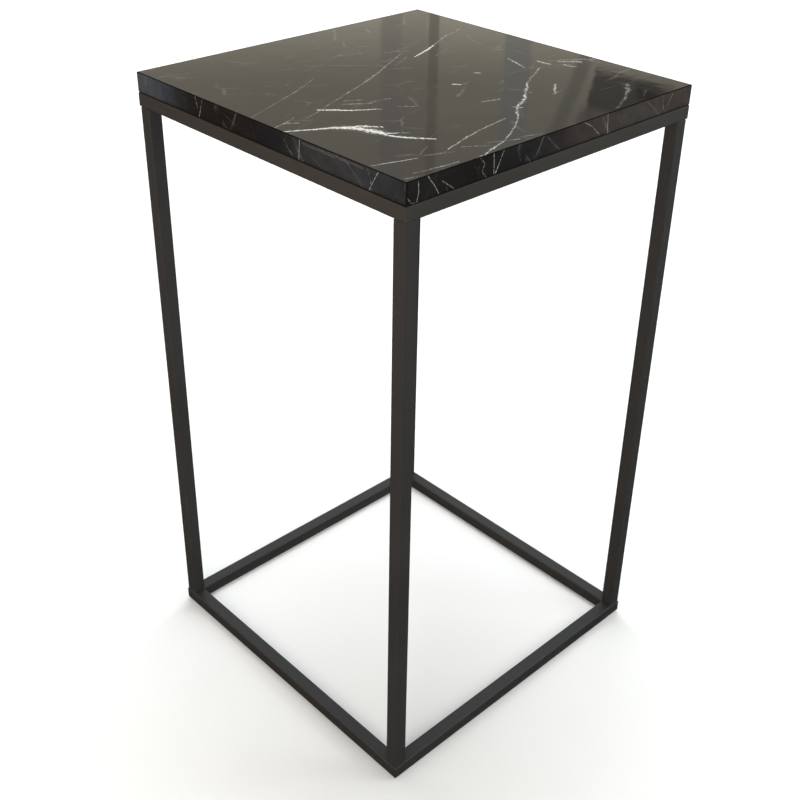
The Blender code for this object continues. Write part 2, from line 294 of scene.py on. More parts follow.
TOP_VEINS = (
    # The bold vein that comes in over the front edge, with its hook and its side strands
    Vein(((37, -198, 0.5), (50, -173, 0.8), (58, -157, 1.3), (66, -147, 2.4), (76, -139, 2.2),
          (86, -135, 3.0), (95, -131, 2.6), (104, -132, 1.0), (113, -128, 1.2), (127, -117, 1.0),
          (139, -106, 0.5)), 0.88, 0.2),
    Vein(((66, -143, 1.1), (75, -130, 1.2), (86, -121, 0.6)), 0.9, 0.3, True),
    Vein(((92, -138, 0.9), (104, -124, 1.1), (112, -113, 0.4)), 0.8, 0.35, True),
    Vein(((27, -197, 0.3), (22, -180, 0.7), (29, -170, 0.6)), 0.55, 0.35),
    Vein(((22, -181, 0.4), (16, -165, 0.3)), 0.35, 0.4),
    # Short streaks inward of it
    Vein(((13, -134, 0.7), (22, -124, 1.2), (33, -113, 0.8), (49, -88, 0.3)), 0.9, 0.1),
    Vein(((16, -106, 0.4), (23, -95, 0.7), (31, -83, 0.3)), 0.4, 0.4),
    Vein(((10, -99, 0.4), (17, -84, 0.4)), 0.35, 0.4),
    Vein(((28, -84, 0.4), (32, -60, 0.3)), 0.4, 0.4),
    Vein(((54, -72, 0.5), (65, -58, 0.3)), 0.4, 0.4),
    # The long thin line across the board and the bright dash beyond it
    Vein(((26, -162, 0.3), (20, -145, 0.4), (-6, -82, 0.5)), 0.28, 0.42),
    Vein(((-6, -82, 0.5), (-27, -32, 0.7), (-63, 36, 0.5), (-77, 62, 0.3)), 0.34, 0.42),
    Vein(((-53, 54, 0.4), (-64, 84, 0.9), (-72, 100, 0.5)), 0.9, 0.2),
    Vein(((-72, 100, 0.4), (-87, 130, 0.4), (-100, 170, 0.3)), 0.4, 0.4),
    Vein(((-44, 18, 0.4), (-58, 48, 0.3)), 0.3, 0.45),
    # Thin lines on the left half
    Vein(((-9, -193, 0.3), (-35, -132, 0.4), (-44, -111, 0.5), (-62, -77, 0.3)), 0.24, 0.42),
    Vein(((-103, -56, 0.4), (-80, -28, 0.5), (-52, 6, 0.3)), 0.15, 0.42),
    Vein(((-108, -4, 0.5), (-98, 19, 0.4)), 0.16, 0.4, True),
    Vein(((-86, -70, 0.3), (-96, -30, 0.4), (-112, 2, 0.3)), 0.13, 0.45),
    Vein(((-108, -88, 0.6), (-101, -70, 0.4)), 0.12, 0.4, True),
    Vein(((-165, -191, 0.3), (-158, -159, 0.3)), 0.3, 0.4),
    Vein(((-152, -90, 0.7), (-146, -76, 0.4)), 0.09, 0.4, True),
    Vein(((-98, 66, 0.5), (-88, 94, 0.4)), 0.15, 0.45, True),
    Vein(((-128, 20, 0.4), (-108, 52, 0.4)), 0.1, 0.45, True),
    Vein(((-84, 40, 0.8), (-74, 66, 0.5)), 0.15, 0.42, True),
    Vein(((-66, 92, 0.6), (-80, 122, 0.6)), 0.14, 0.42, True),
    Vein(((-120, -30, 0.5), (-96, 6, 0.5)), 0.1, 0.45, True),
    Vein(((-40, 70, 0.5), (-52, 100, 0.5)), 0.12, 0.45, True),
    # Lines by the near corner
    Vein(((149, -191, 0.3), (155, -172, 0.5), (162, -150, 0.3)), 0.5, 0.2),
    Vein(((184, -176, 0.4), (187, -155, 0.5), (190, -130, 0.3)), 0.42, 0.4),
    Vein(((188, -190, 0.5), (191, -178, 0.4)), 0.3, 0.4),
    Vein(((161, -141, 0.4), (171, -117, 0.3)), 0.3, 0.4),
    Vein(((163, -116, 0.4), (149, -65, 0.4), (142, -20, 0.3)), 0.45, 0.3),
    Vein(((163, -116, 0.3), (158, -96, 0.5), (151, -78, 0.3)), 0.4, 0.4, True),
    Vein(((167, -103, 0.4), (180, -83, 0.3)), 0.35, 0.4),
    Vein(((174, -81, 0.4), (187, -51, 0.3)), 0.4, 0.35),
    Vein(((184, -45, 0.4), (190, -26, 0.3)), 0.32, 0.4),
    # The jagged vein down the right side
    Vein(((60, 122, 0.4), (75, 92, 0.5), (84, 76, 0.6)), 0.42, 0.45, True),
    Vein(((84, 76, 0.5), (94, 63, 0.8), (104, 50, 0.8), (115, 37, 0.9)), 0.62, 0.40, True),
    Vein(((101, 52, 0.7), (108, 55, 0.5)), 0.5, 0.34, True),
    Vein(((112, 42, 0.7), (121, 26, 1.1), (126, 14, 0.9), (134, 4, 0.8), (144, -5, 0.6)), 0.7, 0.38, True),
    Vein(((124, 8, 0.6), (132, 14, 0.5)), 0.5, 0.34, True),
    Vein(((144, -5, 0.6), (154, -18, 0.5), (172, -47, 0.5), (181, -65, 0.4), (186, -82, 0.3)), 0.45, 0.36),
    Vein(((186, -82, 0.5), (194, -108, 0.8), (198, -120, 0.6)), 0.6, 0.35, True),
    Vein(((182, -70, 0.4), (188, -92, 0.5)), 0.4, 0.4, True),
    # Bits beyond it
    Vein(((15, 124, 0.5), (30, 119, 0.8), (49, 111, 0.5)), 0.5, 0.34),
    Vein(((42, 139, 0.8), (52, 140, 1.3), (58, 142, 0.6)), 0.45, 0.3, True),
    Vein(((58, 142, 0.4), (72, 156, 0.4)), 0.22, 0.4),
    Vein(((50, 150, 0.6), (64, 178, 0.6)), 0.3, 0.4, True),
    Vein(((58, 157, 1.5), (66, 166, 1.6), (73, 172, 1.2)), 0.42, 0.34, True),
    Vein(((68, 150, 1.0), (80, 154, 0.8)), 0.42, 0.32, True),
    Vein(((64, 176, 0.8), (76, 190, 0.8)), 0.4, 0.35, True),
    Vein(((72, 182, 0.6), (86, 186, 0.6)), 0.3, 0.4, True),
    Vein(((104, 94, 0.6), (112, 84, 0.8), (124, 71, 0.4)), 0.5, 0.35, True),
    Vein(((125, 66, 0.5), (122, 84, 0.4)), 0.3, 0.4, True),
    Vein(((40, 16, 1.1), (45, 20, 0.9)), 0.6, 0.2),
    Vein(((28, 60, 0.9), (32, 64, 0.7)), 0.45, 0.2),
    Vein(((96, -2, 0.5), (101, 17, 0.5)), 0.4, 0.3),
    Vein(((152, 146, 1.3), (163, 133, 1.6), (170, 122, 0.8)), 0.22, 0.3, True),
    Vein(((168, 126, 0.8), (178, 108, 0.9), (190, 80, 0.8)), 0.24, 0.42, True),
)

FRONT_VEINS = (
    Vein(((-94, 20, 0.3), (-91, 9, 0.4)), 0.45, 0.3),
    Vein(((-82, 21, 0.3), (-89, 1, 0.4)), 0.45, 0.3),
    Vein(((-178, 19, 0.5), (-181, 10, 0.4)), 0.3, 0.5),
    Vein(((-52, 14, 0.4), (-20, 6, 0.3)), 0.12, 0.6),
    Vein(((-8, 17, 0.4), (-2, 4, 0.3)), 0.12, 0.6),
    Vein(((40, 14, 0.3), (46, 7, 0.3), (52, 2, 0.3)), 0.35, 0.4),
    Vein(((62, 21, 0.3), (60, 1, 0.4)), 0.55, 0.2),
    Vein(((66, 17.2, 1.0), (104, 17.2, 1.5), (143, 17.2, 0.8)), 0.07, 0.2),
    Vein(((75, 9, 0.4), (92, 3, 0.3)), 0.15, 0.6),
    Vein(((148, 21, 0.3), (153, 10, 0.3), (154, 1, 0.3)), 0.3, 0.4),
    Vein(((163, 21, 0.3), (156, 9, 0.3), (151, 0, 0.3)), 0.45, 0.3),
)

RIGHT_VEINS = (
    Vein(((-194, 8, 0.3), (-189, 1, 0.3), (-184, 0, 0.3)), 0.4, 0.3),
    Vein(((-182, 18, 0.3), (-181, 9, 0.3), (-183, 0, 0.3)), 0.6, 0.2),
    Vein(((-171, 19, 0.3), (-164, 11, 0.3), (-158, 1, 0.3)), 0.55, 0.2),
    Vein(((-154, 11, 0.3), (-141, 1, 0.3)), 0.5, 0.3),
    Vein(((-110, 20, 0.4), (-104, 13, 0.4), (-107, 7, 0.3), (-102, 1, 0.4)), 0.45, 0.4),
    Vein(((-93, 20, 0.3), (-92, 0, 0.3)), 0.6, 0.2),
    Vein(((-81, 19, 0.3), (-90, 1, 0.4)), 0.6, 0.3),
    Vein(((-62, 15, 0.4), (-58, 4, 0.3)), 0.12, 0.6),
    Vein(((-24, 18, 0.3), (-12, 7, 0.3), (-6, 2, 0.2)), 0.2, 0.5),
    Vein(((-35, 10, 0.5), (-31, 3, 0.4)), 0.12, 0.6),
    Vein(((28, 19, 0.3), (40, 12, 0.3), (51, 2, 0.3)), 0.45, 0.3),
    Vein(((61, 20, 0.3), (63, 0, 0.3)), 0.45, 0.2),
    Vein(((76, 16, 0.3), (84, 6, 0.3)), 0.14, 0.6),
    Vein(((96, 14, 0.3), (104, 8, 0.3)), 0.12, 0.6),
    Vein(((147, 19, 0.3), (149, 8, 0.3), (151, 4, 0.3)), 0.4, 0.4),
    Vein(((163, 18, 0.3), (157, 8, 0.3)), 0.4, 0.3),
)


def turned_round(veins: tuple[Vein, ...], shift: float) -> tuple[Vein, ...]:
    """Return an edge's veins for the opposite edge: mirrored along it and moved, in millimetres."""
    return tuple(
        replace(vein, points=tuple((shift - along, up, width) for along, up, width in vein.points))
        for vein in veins
    )


@dataclass(frozen=True, kw_only=True)
class Finish:
    """A finish whose colour, roughness and bump come from where it is on the piece."""

    name: str
    metallic: float = 0.0

    def surface(self, bench: Bench) -> Surface:
        """Lay the finish's nodes.

        Args:
            bench: The material's bench.

        Returns:
            The colour, the roughness, and the height and the depth of the bump.
        """
        raise NotImplementedError

    def material(self) -> Material:
        """Make the finish."""
        material, bench = open_material(self.name)
        bench.coat(*self.surface(bench))
        bench.shader.inputs["Metallic"].default_value = self.metallic
        return material


@dataclass(frozen=True, kw_only=True)
class MarblePrint(Finish):
    """Gloss sheet printed as black marble with pale veins.

    Edge veins are placed from the board's underside.
    """

    face: Face
    underside: float
    veins: tuple[Vein, ...]
    ground: Colour
    cloud: Colour
    vein_colour: Colour = (0.78, 0.77, 0.73)
    gloss: float = 0.03
    wander: float = 1.6 * MM
    fray: float = 0.55 * MM
    jag: float = 2.1 * MM
    clouding: float = 0.5
    boldness: float = 1.0
    cut_edge: Colour = (0.006, 0.0055, 0.005)
    # Height over which a band's reflection is cut, as painted shade along its foot.
    painted_foot_shade: float = 4.0 * MM
    kept_least: float = 0.30
    break_softness: float = 0.24
    hair: float = 0.075
    wave_depth: float = 0.06 * MM

    def face_place(self, bench: Bench) -> Any:
        """Return the place along the printed face, as a flat vector in metres."""
        parts = bench.split(bench.place())
        if self.face is Face.TOP:
            return bench.add("ShaderNodeCombineXYZ", {0: parts[0], 1: parts[1]}).outputs[0]
        along = parts[0] if self.face in (Face.FRONT, Face.BACK) else parts[1]
        height = bench.math("SUBTRACT", parts[2], self.underside)
        return bench.add("ShaderNodeCombineXYZ", {0: along, 1: height}).outputs[0]

    def pushed(self, bench: Bench, place: Any, scale: float, reach: float) -> Any:
        """Return the place, pushed about by noise.

        Args:
            bench: The material's bench.
            place: The place along the face.
            scale: How fine the noise is.
            reach: About how far it pushes, in metres.

        Returns:
            The output socket.
        """
        push = bench.vector("SUBTRACT", bench.noise(place, scale, 2.0, colour=True), (0.5, 0.5, 0.5))
        moved = bench.vector("ADD", place, bench.scaled(push, 2 * reach))
        return bench.vector("MULTIPLY", moved, (1.0, 1.0, 0.0))

    def cover(self, bench: Bench, smooth: Any, jagged: Any, flakes: Any, fray: Any) -> Any:
        """Return how much of each place the veins cover.

        Args:
            bench: The material's bench.
            smooth: The place along the face, for veins that wander a little.
            jagged: The same, for veins that jump from side to side.
            flakes: Noise that breaks a vein up along its length.
            fray: Noise that eats into a vein's sides, as a share of its half width.

        Returns:
            The output socket, from 0 to 1.
        """
        group = vein_run_group()
        total: Any = 0.0
        for vein in self.veins:
            one: Any = 0.0
            for start, end in zip(vein.points, vein.points[1:]):
                run = bench.add("ShaderNodeGroup", node_tree=group)
                bench.feed(run.inputs["Place"], jagged if vein.jagged else smooth)
                run.inputs["Start"].default_value = (start[0] * MM, start[1] * MM, 0.0)
                run.inputs["End"].default_value = (end[0] * MM, end[1] * MM, 0.0)
                run.inputs["Start Width"].default_value = start[2] * self.boldness * MM
                run.inputs["End Width"].default_value = end[2] * self.boldness * MM
                bench.feed(run.inputs["Fray"], fray)
                one = bench.math("MAXIMUM", one, run.outputs[0])
            kept = bench.ramp(flakes, vein.broken, vein.broken + self.break_softness, self.kept_least, 1.0)
            one = bench.times(bench.times(one, kept), vein.strength)
            total = bench.math("MAXIMUM", total, one)
        return total

    def hairs(self, bench: Bench, place: Any) -> Any:
        """Return the faint mesh of hair-thin lines between the veins, from 0 to self.hair.

        Args:
            bench: The material's bench.
            place: The place along the face.

        Returns:
            The output socket.
        """
        bent = self.pushed(bench, place, 16.0, 14.0 * MM)
        stretched = bench.vector("MULTIPLY", bent, (1.0, 0.55, 1.0))
        cells = bench.add("ShaderNodeTexVoronoi", {"Vector": stretched, "Scale": 21.0},
                          feature="DISTANCE_TO_EDGE").outputs["Distance"]
        line = bench.ramp(cells, 0.004, 0.020, 1.0, 0.0)
        patches = bench.ramp(bench.noise(place, 26.0, 3.0, 0.6), 0.46, 0.66, 0.0, self.hair)
        return bench.times(line, patches)

    def eased(self, bench: Bench) -> Any:
        """Return 1 on the cut and rounded edges of a band and 0 on its printed face."""
        normal = bench.add("ShaderNodeNewGeometry").outputs["True Normal"]
        parts = bench.split(bench.vector("ABSOLUTE", normal))
        squarest = bench.math("MAXIMUM", parts[0], parts[1])
        return bench.ramp(squarest, 0.998, 0.96)

    def sheen(self, bench: Bench, place: Any) -> Any:
        """Return how strongly a band reflects: unevenly, and less along its foot as painted shade along the
        board's lower edge.

        Args:
            bench: The material's bench.
            place: The place along the band, with its height above the board's underside.

        Returns:
            The output socket.
        """
        height = bench.split(place)[1]
        # Painted shade: the band reflects less towards its foot, for the shade along the board's lower
        # edge.
        foot = bench.ramp(height, 0.0, self.painted_foot_shade, 0.4, 1.0)
        blotch = bench.ramp(bench.noise(place, 60.0, 4.0, 0.65), 0.32, 0.68, 0.34, 0.64)
        return bench.times(foot, blotch)

    def surface(self, bench: Bench) -> Surface:
        """Lay the finish's nodes: veins over a clouded ground, under an unevenly smooth gloss."""
        place = self.face_place(bench)
        flakes = bench.noise(place, 105.0, 3.0, 0.6)
        slanted = bench.add("ShaderNodeMapping", {"Vector": place, "Rotation": (0.0, 0.0, 0.6),
                                                  "Scale": (1.0, 2.6, 1.0)}).outputs[0]
        fray = bench.ramp(bench.noise(slanted, 230.0, 4.0, 0.7), 0.34, 0.66, -0.55, 0.70)
        smooth = self.pushed(bench, self.pushed(bench, place, 38.0, self.wander), 420.0, self.fray)
        jagged = self.pushed(bench, smooth, 150.0, self.jag)
        cover = self.cover(bench, smooth, jagged, flakes, fray)
        cloud = bench.ramp(bench.noise(place, 14.0, 5.0, 0.62), 0.38, 0.72, 0.0, self.clouding)
        ground = bench.blend(cloud, self.ground, self.cloud)
        speck = bench.ramp(bench.noise(place, 900.0, 2.0), 0.66, 0.8, 0.0, 0.06)
        ground = bench.blend(speck, ground, self.vein_colour)
        ground = bench.blend(self.hairs(bench, place), ground, self.vein_colour)
        smear = bench.noise(place, 9.0, 4.0, 0.7)
        hairline = bench.noise(bench.vector("MULTIPLY", place, (1.0, 22.0, 1.0)), 60.0, 2.0)
        rough = bench.ramp(smear, 0.3, 0.75, self.gloss, self.gloss + 0.035)
        rough = bench.math("ADD", rough, bench.ramp(hairline, 0.62, 0.8, 0.0, 0.02))
        colour = bench.blend(cover, ground, self.vein_colour)
        if self.face is not Face.TOP:
            eased = self.eased(bench)
            rough = bench.math("MULTIPLY_ADD", eased, 0.5, rough)
            colour = bench.blend(eased, colour, self.cut_edge)
            # The band's reflection strength, with painted shade along its foot.
            shine = bench.times(self.sheen(bench, place), bench.math("SUBTRACT", 1.0, eased))
            bench.feed(bench.shader.inputs["Specular IOR Level"], shine)
        return colour, rough, bench.noise(place, 24.0, 2.0), self.wave_depth


@dataclass(frozen=True, kw_only=True)
class PowderCoat(Finish):
    """Satin black powder coat with a fine orange peel and slightly rubbed edges, and optionally a band of
    painted shade along its top.
    """

    name: str = "satin_powder_coat"
    colour: Colour = (0.0290, 0.0275, 0.0262)
    rubbed: Colour = (0.050, 0.048, 0.046)
    roughness: float = 0.40
    peel_scale: float = 900.0
    peel_depth: float = 0.05 * MM
    edge_radius: float = 0.7 * MM
    # Painted shade: above this height the coat is darkened and its gloss cut, for the shade that falls
    # under the board's edge.
    painted_shade_above: float | None = None
    painted_shade_depth: float = 0.5 * MM

    def surface(self, bench: Bench) -> Surface:
        """Lay the finish's nodes."""
        place = bench.place()
        tone = bench.ramp(bench.noise(place, 7.0, 3.0), 0.35, 0.7)
        shade = bench.blend(tone, self.colour, tuple(1.18 * part for part in self.colour))
        speck = bench.ramp(bench.noise(place, 1400.0, 1.0), 0.68, 0.78, 0.0, 0.35)
        shade = bench.blend(speck, shade, self.rubbed)
        eased = bench.add("ShaderNodeBevel", {"Radius": self.edge_radius}, samples=4).outputs[0]
        true = bench.add("ShaderNodeNewGeometry").outputs["Normal"]
        edge = bench.ramp(bench.measure("DOT_PRODUCT", eased, true), 0.995, 0.9)
        patchy = bench.ramp(bench.noise(place, 55.0, 4.0, 0.7), 0.45, 0.7, 0.0, 0.3)
        shade = bench.blend(bench.times(edge, patchy), shade, self.rubbed)
        # Painted shade: darken the coat and cut its gloss above the given height, for the shade under the
        # board's edge.
        if self.painted_shade_above is not None:
            height = bench.split(place)[2]
            kept = bench.ramp(height, self.painted_shade_above, self.painted_shade_above + self.painted_shade_depth, 1.0, 0.3)
            shade = bench.vector("MULTIPLY", shade, bench.grey(kept))
            bench.feed(bench.shader.inputs["Specular IOR Level"], bench.times(kept, 0.5))
        rough = bench.ramp(bench.noise(place, 30.0, 4.0, 0.6), 0.3, 0.7, self.roughness - 0.04,
                           self.roughness + 0.06)
        return shade, rough, bench.noise(place, self.peel_scale, 2.0, 0.45), self.peel_depth


@dataclass(frozen=True, kw_only=True)
class Chipboard(Finish):
    """Pressed wood chips, seen in the cut edges and holes of the core."""

    name: str = "pressed_chipboard"
    light: Colour = (0.46, 0.33, 0.19)
    dark: Colour = (0.22, 0.14, 0.07)

    def surface(self, bench: Bench) -> Surface:
        """Lay the finish's nodes."""
        place = bench.place()
        flat = bench.vector("MULTIPLY", place, (1.0, 1.0, 2.6))
        chips = bench.add("ShaderNodeTexVoronoi", {"Vector": flat, "Scale": 420.0}).outputs
        shade = bench.blend(bench.ramp(chips["Color"], 0.1, 0.9), self.dark, self.light)
        grain = bench.noise(bench.vector("MULTIPLY", place, (1.0, 6.0, 6.0)), 700.0, 3.0)
        shade = bench.blend(bench.times(grain, 0.35), shade, self.dark)
        return shade, bench.ramp(grain, 0.3, 0.7, 0.78, 0.92), chips["Distance"], 0.30 * MM


@dataclass(frozen=True, kw_only=True)
class BackerPaper(Finish):
    """Matt dark backing sheet with the faint weave of resin-soaked paper."""

    name: str = "matt_backer_paper"
    colour: Colour = (0.026, 0.025, 0.024)
    worn: Colour = (0.050, 0.048, 0.046)

    def surface(self, bench: Bench) -> Surface:
        """Lay the finish's nodes."""
        place = bench.place()
        fibre = bench.noise(bench.vector("MULTIPLY", place, (1.0, 5.0, 1.0)), 260.0, 4.0, 0.6)
        blotch = bench.ramp(bench.noise(place, 16.0, 3.0), 0.2, 0.8, 0.4, 1.0)
        mix = bench.times(bench.ramp(fibre, 0.35, 0.7), blotch)
        shade = bench.blend(mix, self.colour, self.worn)
        return shade, bench.ramp(fibre, 0.3, 0.7, 0.55, 0.70), fibre, 0.06 * MM


@dataclass(frozen=True, kw_only=True)
class ZincPlate(Finish):
    """Bright zinc plate with a faint yellow-blue tarnish and fine scratches."""

    name: str = "bright_zinc_plate"
    metallic: float = 1.0
    colour: Colour = (0.60, 0.60, 0.58)
    tarnish: Colour = (0.46, 0.44, 0.36)

    def surface(self, bench: Bench) -> Surface:
        """Lay the finish's nodes."""
        place = bench.place()
        blotch = bench.ramp(bench.noise(place, 320.0, 3.0), 0.35, 0.7)
        shade = bench.blend(blotch, self.colour, self.tarnish)
        scratch = bench.noise(bench.vector("MULTIPLY", place, (1.0, 12.0, 1.0)), 900.0, 3.0)
        return shade, bench.ramp(scratch, 0.3, 0.7, 0.26, 0.42), scratch, 0.03 * MM


@dataclass(frozen=True, kw_only=True)
class PadRubber(Finish):
    """Dull black rubber with a dusty, pitted skin."""

    name: str = "dull_pad_rubber"
    colour: Colour = (0.016, 0.016, 0.016)
    dust: Colour = (0.10, 0.095, 0.09)

    def surface(self, bench: Bench) -> Surface:
        """Lay the finish's nodes."""
        place = bench.place()
        dust = bench.ramp(bench.noise(place, 240.0, 4.0, 0.7), 0.5, 0.8, 0.0, 0.5)
        shade = bench.blend(dust, self.colour, self.dust)
        pits = bench.add("ShaderNodeTexVoronoi", {"Vector": place, "Scale": 1600.0}).outputs["Distance"]
        return shade, bench.ramp(dust, 0.0, 0.5, 0.68, 0.85), pits, 0.08 * MM


# --- Mesh work ---


def to_object(shape: Shape, name: str) -> Piece:
    """Turn a bmesh into an object in the scene.

    Args:
        shape: The bmesh, which is freed.
        name: The object's name.

    Returns:
        The new object.
    """
    mesh = bpy.data.meshes.new(name)
    shape.to_mesh(mesh)
    shape.free()
    piece = bpy.data.objects.new(name, mesh)
    bpy.context.scene.collection.objects.link(piece)
    return piece


def mesh_piece(shape: Shape, name: str, material: Material) -> Piece:
    """Turn a bmesh, already in the table's frame, into a piece that rides on the table.

    Args:
        shape: The bmesh, which is freed.
        name: The piece's name.
        material: Its finish.

    Returns:
        The new object.
    """
    bmesh.ops.recalc_face_normals(shape, faces=shape.faces)
    piece = to_object(shape, name)
    piece.data.shade_smooth()
    piece.data.set_sharp_from_angle(angle=SHARP_ANGLE)
    piece.data.materials.append(material)
    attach(piece, ROOT)
    return piece


def dress(node: str, material: Material) -> None:
    """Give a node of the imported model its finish."""
    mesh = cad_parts[node].data
    mesh.materials.clear()
    mesh.materials.append(material)


def rounded_square(half: float, radius: float, steps: int = 6) -> list[Point]:
    """Return the outline of a square with round corners, anticlockwise.

    Args:
        half: Half the side.
        radius: Radius of the corners.
        steps: Steps in each corner.

    Returns:
        The outline's points.
    """
    middle = half - radius
    points = []
    for corner in range(4):
        bearing = math.pi / 4 + corner * math.pi / 2
        centre_x = math.copysign(middle, math.cos(bearing))
        centre_y = math.copysign(middle, math.sin(bearing))
        for step in range(steps + 1):
            angle = (corner + step / steps) * math.pi / 2
            points.append((centre_x + radius * math.cos(angle), centre_y + radius * math.sin(angle)))
    return points


def round_ring(shape: Shape, height: float, radii: list[float]) -> list[Vert]:
    """Add a ring of points round the Z axis.

    Args:
        shape: The bmesh to add them to.
        height: Their height.
        radii: How far from the axis each point is.

    Returns:
        The points.
    """
    ring = []
    for step, radius in enumerate(radii):
        angle = step / len(radii) * math.tau
        ring.append(shape.verts.new((radius * math.cos(angle), radius * math.sin(angle), height)))
    return ring


def bridge_rings(shape: Shape, rings: list[list[Vert]], closed: bool = False) -> None:
    """Join neighbouring rings of points with faces.

    Args:
        shape: The bmesh that holds the points.
        rings: Rings with the same number of points.
        closed: Join the last ring to the first.
    """
    pairs = list(zip(rings, rings[1:]))
    if closed:
        pairs.append((rings[-1], rings[0]))
    for lower, upper in pairs:
        count = len(lower)
        for index in range(count):
            after = (index + 1) % count
            shape.faces.new((lower[index], lower[after], upper[after], upper[index]))


# --- The table ---


@dataclass
class Board:
    """The printed board: face sheet, core, backer and the four edge bands."""

    ground: Colour = (0.0135, 0.0125, 0.0115)
    cloud: Colour = (0.022, 0.0205, 0.0185)
    edge_ground: Colour = (0.0078, 0.0062, 0.0054)
    edge_cloud: Colour = (0.017, 0.0165, 0.017)

    def dress(self) -> None:
        """Give every layer of the board its finish."""
        low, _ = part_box("bottom_backer_sheet")
        underside = low[2]
        top = MarblePrint(name="marble_face_print", face=Face.TOP, underside=underside, veins=TOP_VEINS,
                          ground=self.ground, cloud=self.cloud, boldness=1.7)
        dress("top_face_sheet", top.material())
        LOG.info("top_face_sheet: %s, %d veins", top.name, len(top.veins))
        edge_veins = {
            Face.FRONT: FRONT_VEINS,
            Face.RIGHT: RIGHT_VEINS,
            Face.BACK: turned_round(FRONT_VEINS, 12.0),
            Face.LEFT: turned_round(RIGHT_VEINS, -9.0),
        }
        for face, veins in edge_veins.items():
            band = MarblePrint(name="marble_edge_print_" + face.value, face=face, underside=underside,
                               veins=veins, ground=self.edge_ground, cloud=self.edge_cloud, gloss=0.07,
                               wander=0.8 * MM, fray=0.3 * MM, boldness=1.1, vein_colour=(0.55, 0.53, 0.49))
            dress("edge_band_" + face.value, band.material())
            LOG.info("edge_band_%s: %s, %d veins", face.value, band.name, len(veins))
        dress("board_core", Chipboard().material())
        dress("bottom_backer_sheet", BackerPaper().material())
        LOG.info("board_core and bottom_backer_sheet dressed")


@dataclass
class TubeFrame:
    """The welded frame: two mitred square frames, four legs and the welds that close them."""

    coat: Material
    # The rim's copy of the coat, with painted light and painted shade.
    rim_coat: Material
    wall: float = 1.2 * MM
    corner_radius: float = 1.5 * MM
    inner_radius: float = 0.4 * MM
    weld_overlap: float = 0.05 * MM
    groove: float = 0.6 * MM
    frames: tuple[str, ...] = ("top_frame", "base_frame")
    sides: tuple[str, ...] = ("front", "right", "back", "left")

    def dress(self) -> None:
        """Coat the rails and the legs."""
        for name in self.frames:
            for side in self.sides:
                dress(f"{name}_rail_{side}", self.coat_of(name))
        for corner in CornerPlace:
            dress("leg_" + corner.label, self.coat)
        LOG.info("frame: rails and legs coated")

    def coat_of(self, name: str) -> Material:
        """Return the coat of one of the two square frames: the top frame gets the copy with painted light
        and painted shade.
        """
        return self.rim_coat if name == "top_frame" else self.coat

    def hollow_plate(self, half: float, thickness: float, stretch: float) -> Shape:
        """Make a hollow square plate, flat along Z and stretched along X.

        Args:
            half: Half the side of its outline.
            thickness: Its thickness.
            stretch: How much longer its outline is along X than along Y.

        Returns:
            The bmesh.
        """
        shape = bmesh.new()
        outlines = (
            rounded_square(half, self.corner_radius),
            rounded_square(half - self.wall, self.inner_radius),
        )
        rings = []
        for outline, heights in zip(outlines, ((-1, 1), (1, -1))):
            for sign in heights:
                rings.append([shape.verts.new((stretch * x, y, sign * thickness / 2)) for x, y in outline])
        bridge_rings(shape, rings, closed=True)
        return shape

    def add_mitre_welds(self) -> None:
        """Fill the eight mitres with weld, ground flush."""
        for name in self.frames:
            low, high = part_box(name + "_rail_front")
            _, right_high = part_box(name + "_rail_right")
            half = (high[2] - low[2]) / 2
            middle_z = (high[2] + low[2]) / 2
            reach_x = right_high[0] - half
            reach_y = -low[1] - half
            for corner in CornerPlace:
                sign_x, sign_y = corner.value
                shape = self.hollow_plate(half, JOINT_GAP + 2 * self.weld_overlap, math.sqrt(2))
                upright = Matrix.Rotation(math.pi / 2, 4, "X")
                turned = Matrix.Rotation(sign_x * sign_y * math.pi / 4, 4, "Z")
                moved = Matrix.Translation((sign_x * reach_x, sign_y * reach_y, middle_z))
                bmesh.ops.transform(shape, matrix=moved @ turned @ upright, verts=shape.verts)
                mesh_piece(shape, f"{name}_mitre_weld_{corner.label}", self.coat_of(name))
        LOG.info("frame: 8 mitre welds")

    def add_leg_welds(self) -> None:
        """Close the joints at both ends of each leg: flush at the foot, set back under the rim."""
        for corner in CornerPlace:
            low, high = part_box("leg_" + corner.label)
            _, rail_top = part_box("base_frame_rail_front")
            rim_low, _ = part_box("top_frame_rail_front")
            centre = ((low[0] + high[0]) / 2, (low[1] + high[1]) / 2)
            half = (high[0] - low[0]) / 2
            foot_height = low[2] + self.groove - rail_top[2]
            self.add_ring(f"leg_foot_weld_{corner.label}", centre, half, rail_top[2], foot_height)
            head_height = rim_low[2] - high[2] + self.groove
            self.add_ring(f"leg_head_weld_{corner.label}", centre, half - self.groove,
                          high[2] - self.groove, head_height)
        LOG.info("frame: 8 leg welds")

    def add_ring(self, name: str, centre: Point, half: float, bottom: float, height: float) -> None:
        """Add one hollow square ring of weld.

        Args:
            name: The piece's name.
            centre: Its middle along X and Y.
            half: Half its side.
            bottom: Height of its underside.
            height: Its own height.
        """
        shape = self.hollow_plate(half, height, 1.0)
        bmesh.ops.translate(shape, vec=(*centre, bottom + height / 2), verts=shape.verts)
        mesh_piece(shape, name, self.coat)


